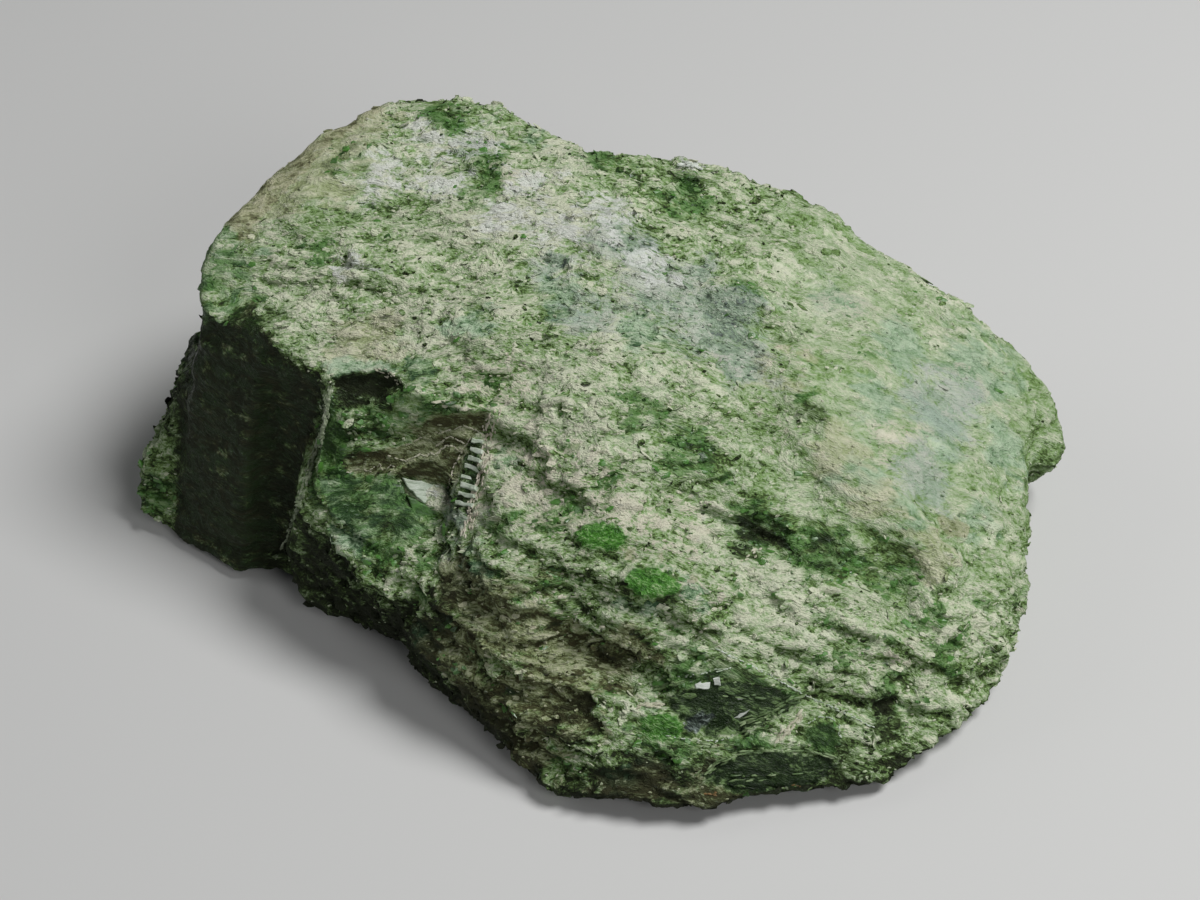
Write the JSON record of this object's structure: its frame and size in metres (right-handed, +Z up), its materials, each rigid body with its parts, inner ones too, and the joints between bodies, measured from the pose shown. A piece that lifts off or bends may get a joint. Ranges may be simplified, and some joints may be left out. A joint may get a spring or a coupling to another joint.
{
  "type": "chrome diopside rough rock specimen",
  "caption": "Rough hand specimen of chrome diopside rock: a thick wedge of green layered rock with broken ledges, a small stepped pocket and a flat spot to rest on",
  "frame": {"origin": "on the flat spot of the underside, below the middle of the bounding box", "axes": "+X runs along the stone from its thick end to its thin end, +Y from the front slope to the back, +Z up from the flat spot"},
  "size_m": [0.0562, 0.0418, 0.0209],
  "materials": {
    "rock": "rough broken rock, pale green and cream powdery skin over glassy green grains, dark green in the hollows"
  },
  "bodies": {
    "root": {"diopside_rock": "rock"}
  },
  "joints": []
}
